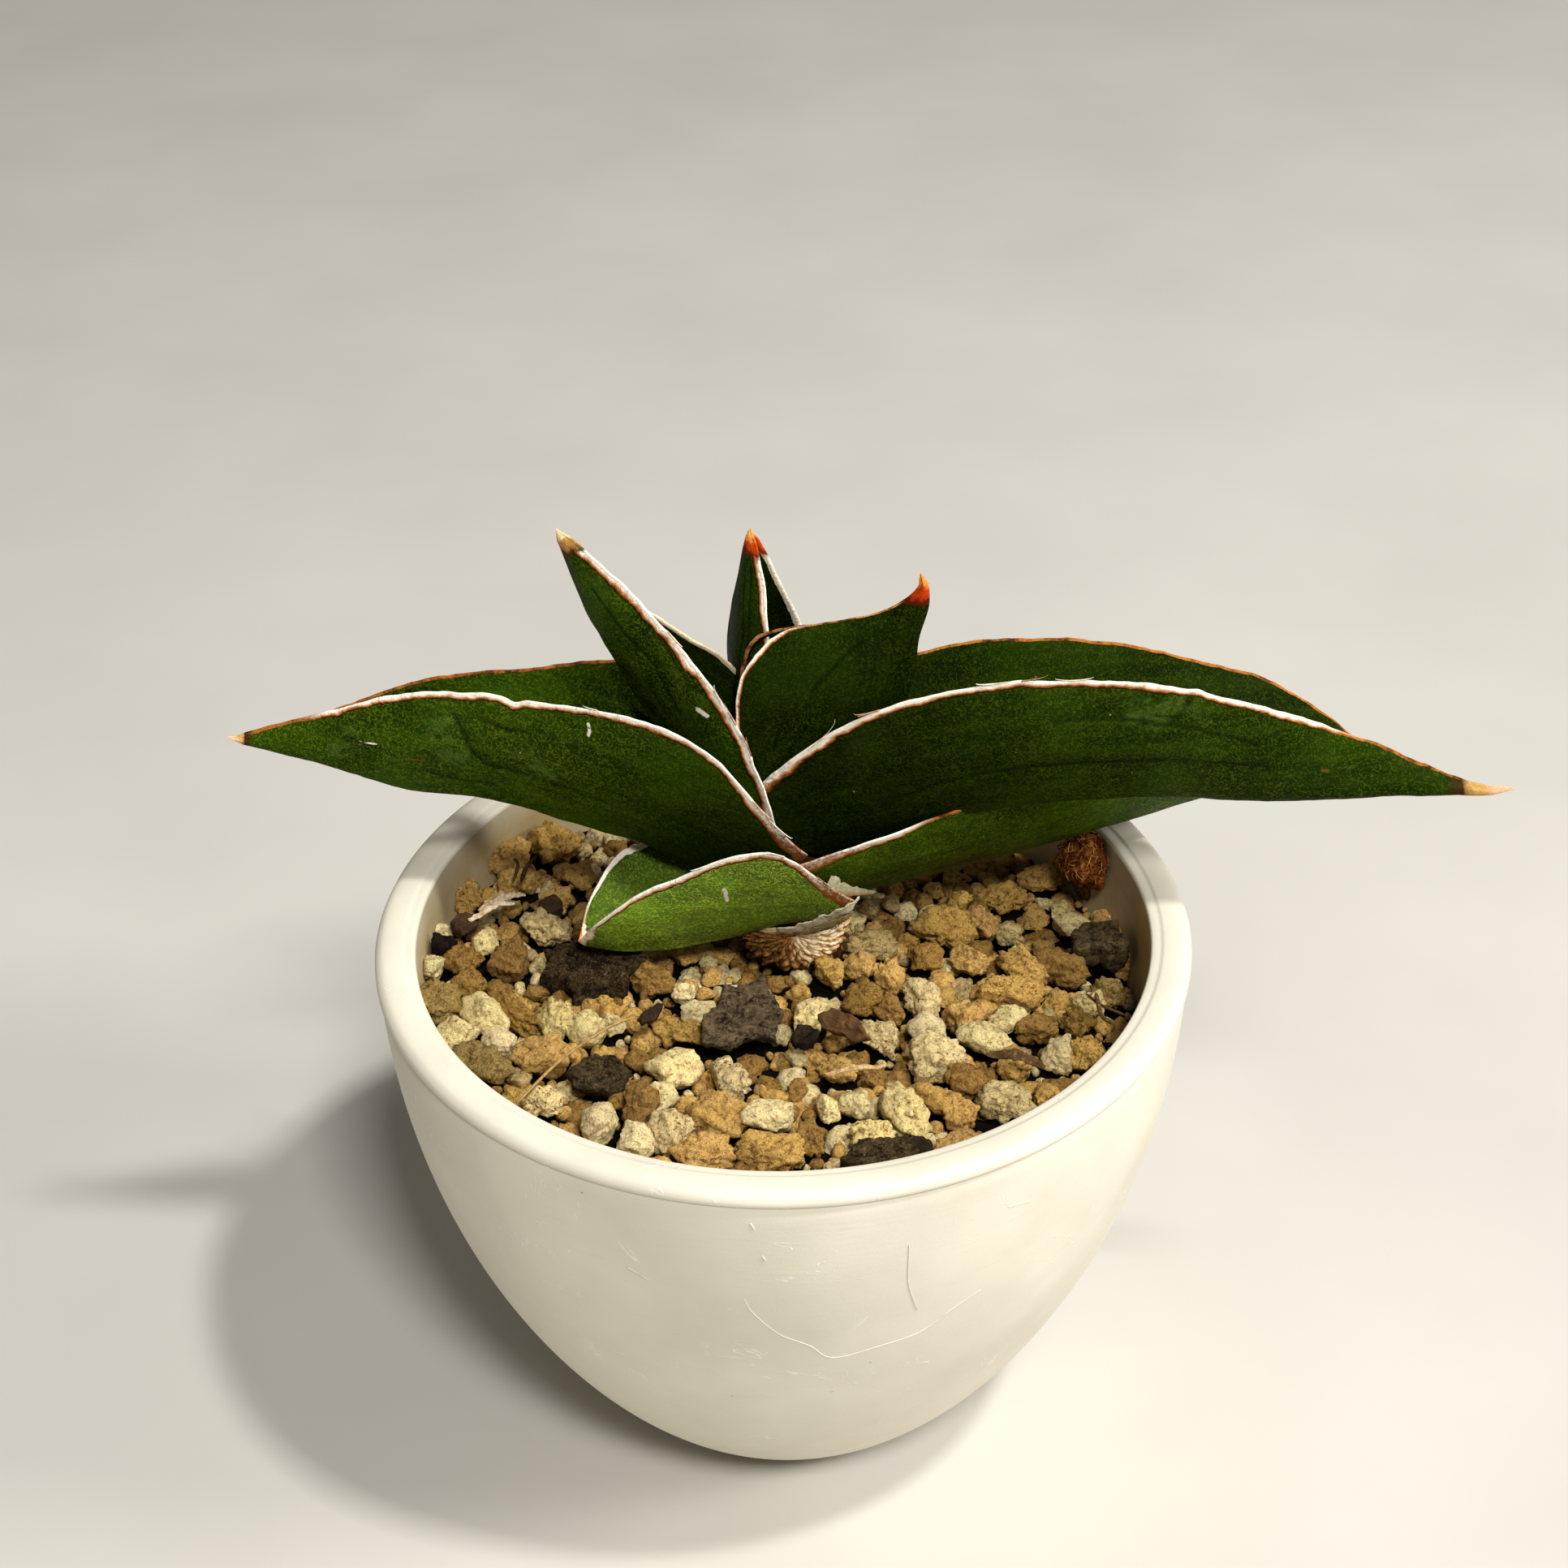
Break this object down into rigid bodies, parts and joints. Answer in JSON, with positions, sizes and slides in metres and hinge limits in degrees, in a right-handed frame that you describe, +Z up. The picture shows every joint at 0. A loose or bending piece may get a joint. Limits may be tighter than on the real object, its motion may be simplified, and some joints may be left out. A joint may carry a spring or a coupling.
{
  "type": "potted samurai snake plant",
  "caption": "Dwarf snake plant with keeled, boat-shaped leaves in two ranks, growing from gravel in a round bowl-shaped pot.",
  "frame": {"origin": "middle of the flat underside of the pot, on the surface that it stands on", "axes": "+Z up along the pot's axis, +X to the right along the two ranks of leaves, -Y towards the front"},
  "size_m": [0.16, 0.1046, 0.1262],
  "materials": {
    "pot": "cream-white matte plastic with faint scuffs",
    "gravel": "matte baked clay granules and pale pumice",
    "dry_fibre": "dry fibrous old leaf bases",
    "leaf": "finely stippled, slightly waxy dark green skin with white papery edges",
    "dark_bark": "charred, porous",
    "bark": "weathered, rough",
    "coir": "fibrous, matte"
  },
  "bodies": {
    "root": {"pot": "pot", "soil": "gravel", "stem": "dry_fibre", "leaf_centre": "leaf", "leaf_upper_right": "leaf", "leaf_upper_left": "leaf", "leaf_big_right": "leaf", "leaf_big_left": "leaf", "leaf_low_right": "leaf", "leaf_low_left": "leaf", "bark_low_left": "dark_bark", "bark_middle": "bark", "bark_front": "bark", "bark_right": "bark", "bark_front_wall": "bark", "coir_lump": "coir"}
  },
  "joints": []
}
